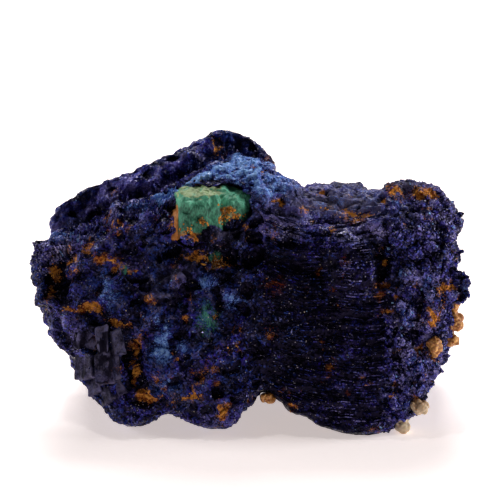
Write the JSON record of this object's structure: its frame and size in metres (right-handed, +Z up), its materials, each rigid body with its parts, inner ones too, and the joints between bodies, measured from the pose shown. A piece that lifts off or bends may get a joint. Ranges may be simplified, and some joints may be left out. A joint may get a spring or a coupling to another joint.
{
  "type": "azurite specimen",
  "caption": "Rough azurite crystal cluster: a rosette, a blade behind it and a barrel of stacked plates, with a malachite block and tan host-rock grains.",
  "frame": {"origin": "on the table plane, under the middle of the whole specimen's box", "axes": "+X along the longest side, to the right of the display face; +Y away from the viewer of the display face; +Z up"},
  "size_m": [0.042, 0.023, 0.0242],
  "materials": {
    "azurite": "dark blue crystal faces with a glassy glint, stained brown in the hollows",
    "malachite": "earthy to silky green, tan on top",
    "host_rock": "sandy, slightly see-through grains"
  },
  "bodies": {
    "root": {"azurite_mass": "azurite", "malachite_block": "malachite", "tan_grain_1": "host_rock", "tan_grain_2": "host_rock", "tan_grain_3": "host_rock", "tan_grain_4": "host_rock", "tan_grain_5": "host_rock", "tan_grain_6": "host_rock", "tan_grain_7": "host_rock"}
  },
  "joints": []
}
